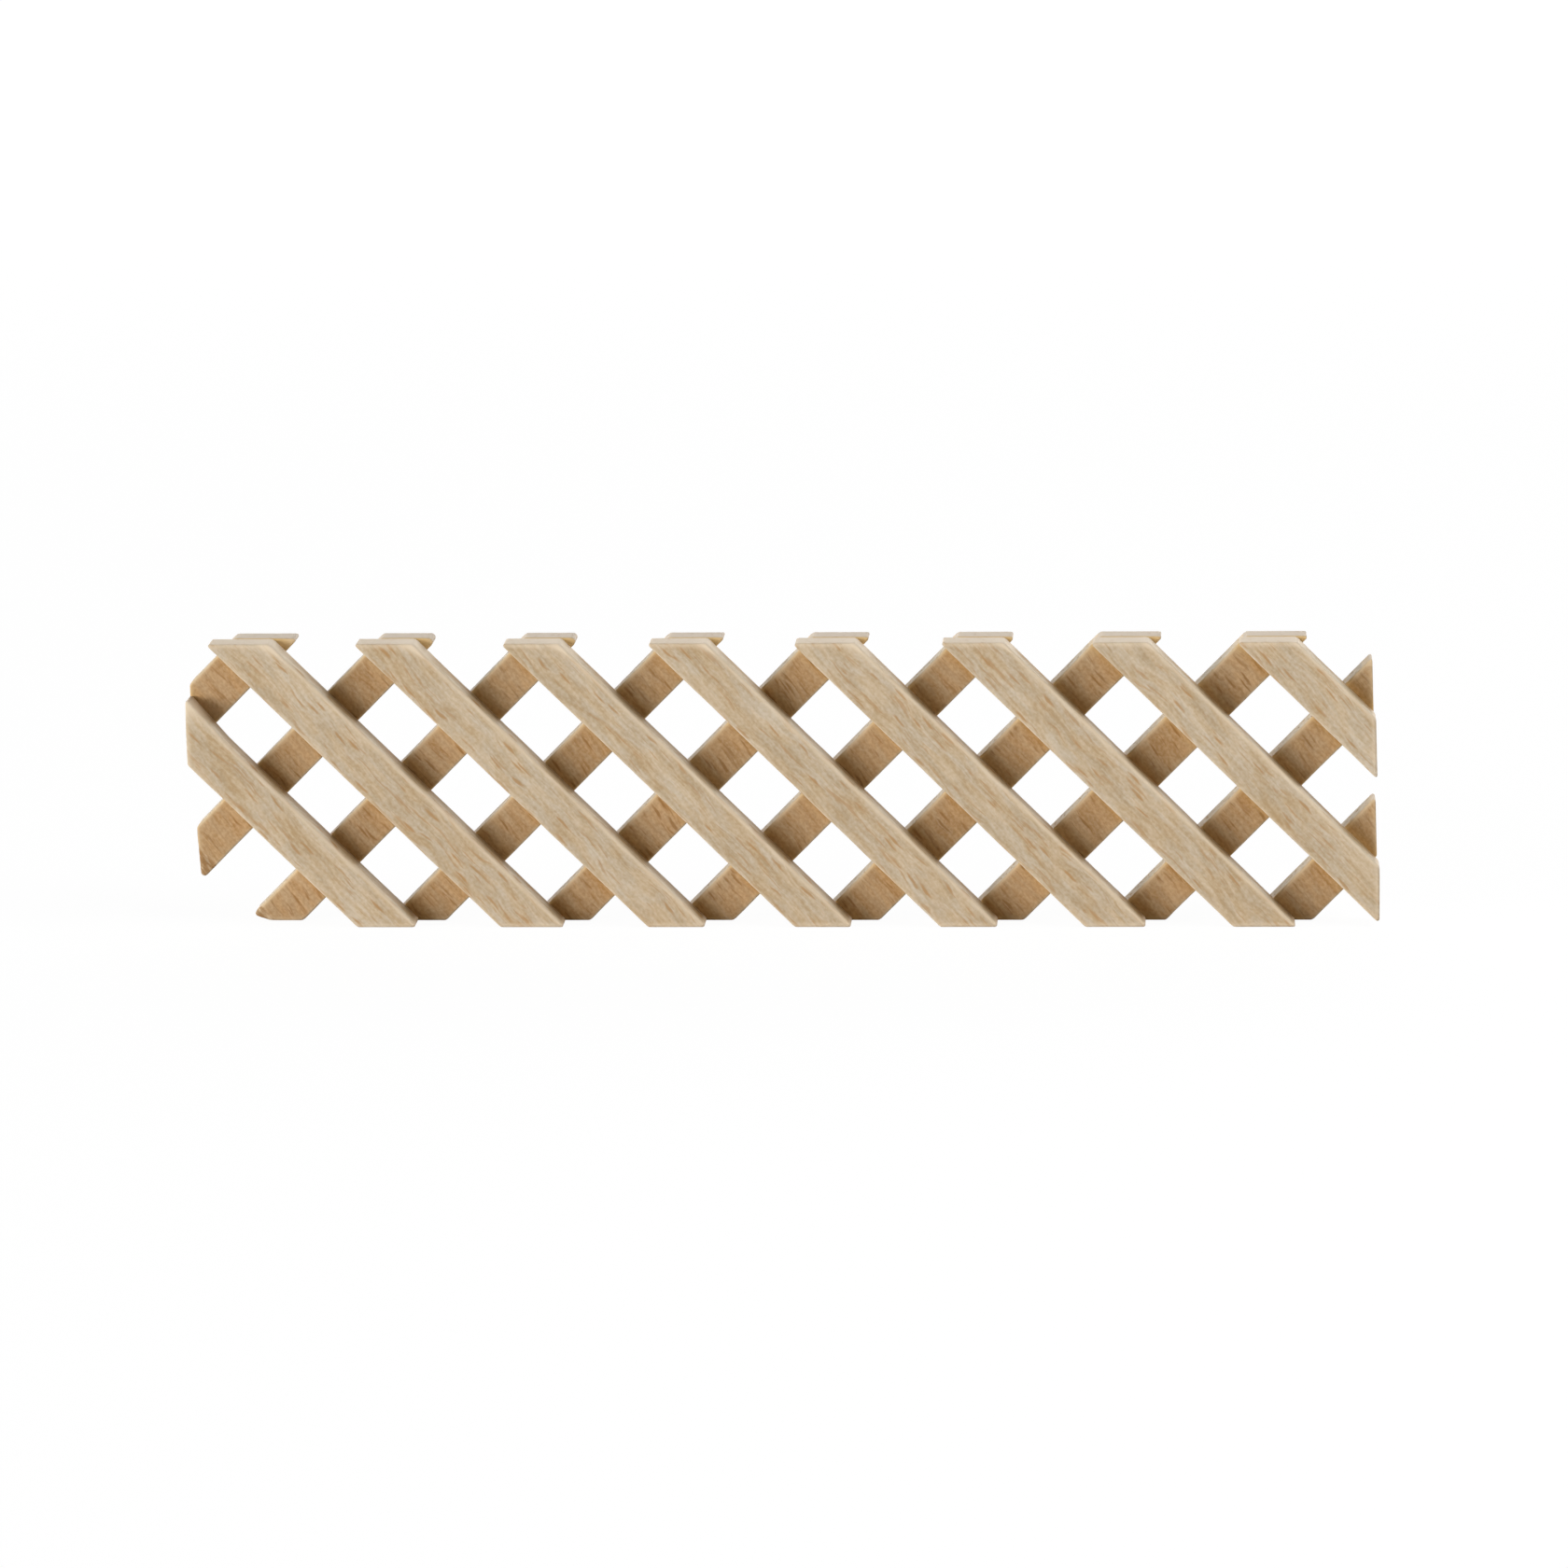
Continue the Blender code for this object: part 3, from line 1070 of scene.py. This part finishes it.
def seen_directly(tree):
    """1 for the camera's own rays, and for those that it sees in gloss or through glass."""
    path = add(tree, "ShaderNodeLightPath").outputs
    seen = math_node(tree, "MAXIMUM", path["Is Camera Ray"], path["Is Glossy Ray"])
    return math_node(tree, "MAXIMUM", seen, path["Is Transmission Ray"])


def grey(level):
    """A linear grey."""
    return (level, level, level, 1.0)


def make_floor():
    """A wide plain floor that shows white to the camera, with a faint shadow, and lights as paper."""
    material = bpy.data.materials.new("pale_floor")
    material.use_nodes = True
    tree = material.node_tree
    tree.nodes.clear()
    paper = add(tree, "ShaderNodeBsdfDiffuse", {"Color": grey(FLOOR_PAPER)})
    shade = add(tree, "ShaderNodeBsdfDiffuse", {"Color": grey(FLOOR_SHEEN)})
    light = add(tree, "ShaderNodeEmission", {"Color": grey(1.0), "Strength": FLOOR_GLOW})
    white = add(tree, "ShaderNodeAddShader", {0: shade.outputs[0], 1: light.outputs[0]})
    shown = {0: seen_directly(tree), 1: paper.outputs[0], 2: white.outputs[0]}
    chosen = add(tree, "ShaderNodeMixShader", shown)
    output = add(tree, "ShaderNodeOutputMaterial")
    tree.links.new(chosen.outputs[0], output.inputs["Surface"])
    mesh = bpy.data.meshes.new("floor")
    corners = [(x * HALF_FLOOR, y * HALF_FLOOR, 0.0) for x, y in ((-1, -1), (1, -1), (1, 1), (-1, 1))]
    mesh.from_pydata(corners, [], [(0, 1, 2, 3)])
    mesh.materials.append(material)
    floor = bpy.data.objects.new("floor", mesh)
    bpy.context.scene.collection.objects.link(floor)


def make_world():
    """An even pale surround: white to the camera and in reflections, and a low fill on the object."""
    world = bpy.data.worlds.new("studio")
    world.use_nodes = True
    tree = world.node_tree
    tree.nodes.clear()
    levels = {"Value": seen_directly(tree), "To Min": WORLD_FILL, "To Max": 1.0}
    strength = add(tree, "ShaderNodeMapRange", levels).outputs[0]
    light = add(tree, "ShaderNodeBackground", {"Color": grey(1.0), "Strength": strength})
    output = add(tree, "ShaderNodeOutputWorld")
    tree.links.new(light.outputs[0], output.inputs["Surface"])
    bpy.context.scene.world = world


def area_light(name, place, width, height, power):
    """A soft oblong light that faces the panel's middle."""
    data = bpy.data.lights.new(name, "AREA")
    data.shape = "RECTANGLE"
    data.size = width
    data.size_y = height
    data.energy = power
    lamp = bpy.data.objects.new(name, data)
    towards = Vector((0.0, 0.0, HEIGHT / 2)) - Vector(place)
    lamp.location = place
    lamp.rotation_euler = towards.to_track_quat("-Z", "Y").to_euler()
    bpy.context.scene.collection.objects.link(lamp)


def make_camera():
    """The photograph's view of the panel."""
    data = bpy.data.cameras.new("camera")
    data.lens = LENS
    data.sensor_width = SENSOR
    data.clip_start = NEAR_LIMIT
    data.clip_end = FAR_LIMIT
    camera = bpy.data.objects.new("camera", data)
    right = SIGHT.cross(TOP_OF_VIEW)
    turn = Matrix((right, TOP_OF_VIEW, -SIGHT)).transposed()
    camera.matrix_world = Matrix.Translation(EYE) @ turn.to_4x4()
    bpy.context.scene.collection.objects.link(camera)
    bpy.context.scene.camera = camera


# The panel

def build_slats(layer, places, material):
    """One layer's slats, each in its node's place."""
    measures = zip(places, layer.widths, layer.nudges)
    for number, (even_x, width, nudge) in enumerate(measures, start=1):
        node = f"{layer.name}_{number}"
        torn = layer is REAR and number in TORN_TIPS
        slat = Slat(
            layer=layer,
            cross_x=even_x + layer.side * nudge / math.sin(layer.slope),
            width=width,
            sides=panel_sides(layer.length) + ([torn_side(*TORN_TIPS[number])] if torn else []),
            tip_radius=TORN_TIP_RADIUS if torn else TIP_RADIUS,
            flare=FLARE_LIFT if node == FLARED_SLAT else 0.0,
            seed=layer.seed + SLAT_SEED_STEP * number,
        )
        piece = slat_object(f"{node}_wood", slat, material)
        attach(piece, "root")
        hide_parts(node)


def build_glue(material):
    """The glue pads behind each front slat."""
    for number, front_x in enumerate(FRONT_PLACES, start=1):
        piece = glue_pads(f"glue_pads_{number}", front_x, GLUE_SEED + GLUE_SEED_STEP * number, material)
        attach(piece, "root")
        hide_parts(f"glue_line_{number}")


grain = make_grain_group()
front_wood = wood("front_wood", grain, FRONT_FINISH)
rear_wood = wood("rear_wood", grain, REAR_FINISH)
build_slats(FRONT, FRONT_PLACES, front_wood)
build_slats(REAR, REAR_PLACES, rear_wood)
build_glue(dried_glue("dried_glue"))

make_camera()
make_world()
make_floor()
for lamp_name, lamp in LAMPS.items():
    area_light(lamp_name, *lamp)
bpy.context.scene.view_settings.view_transform = "Standard"
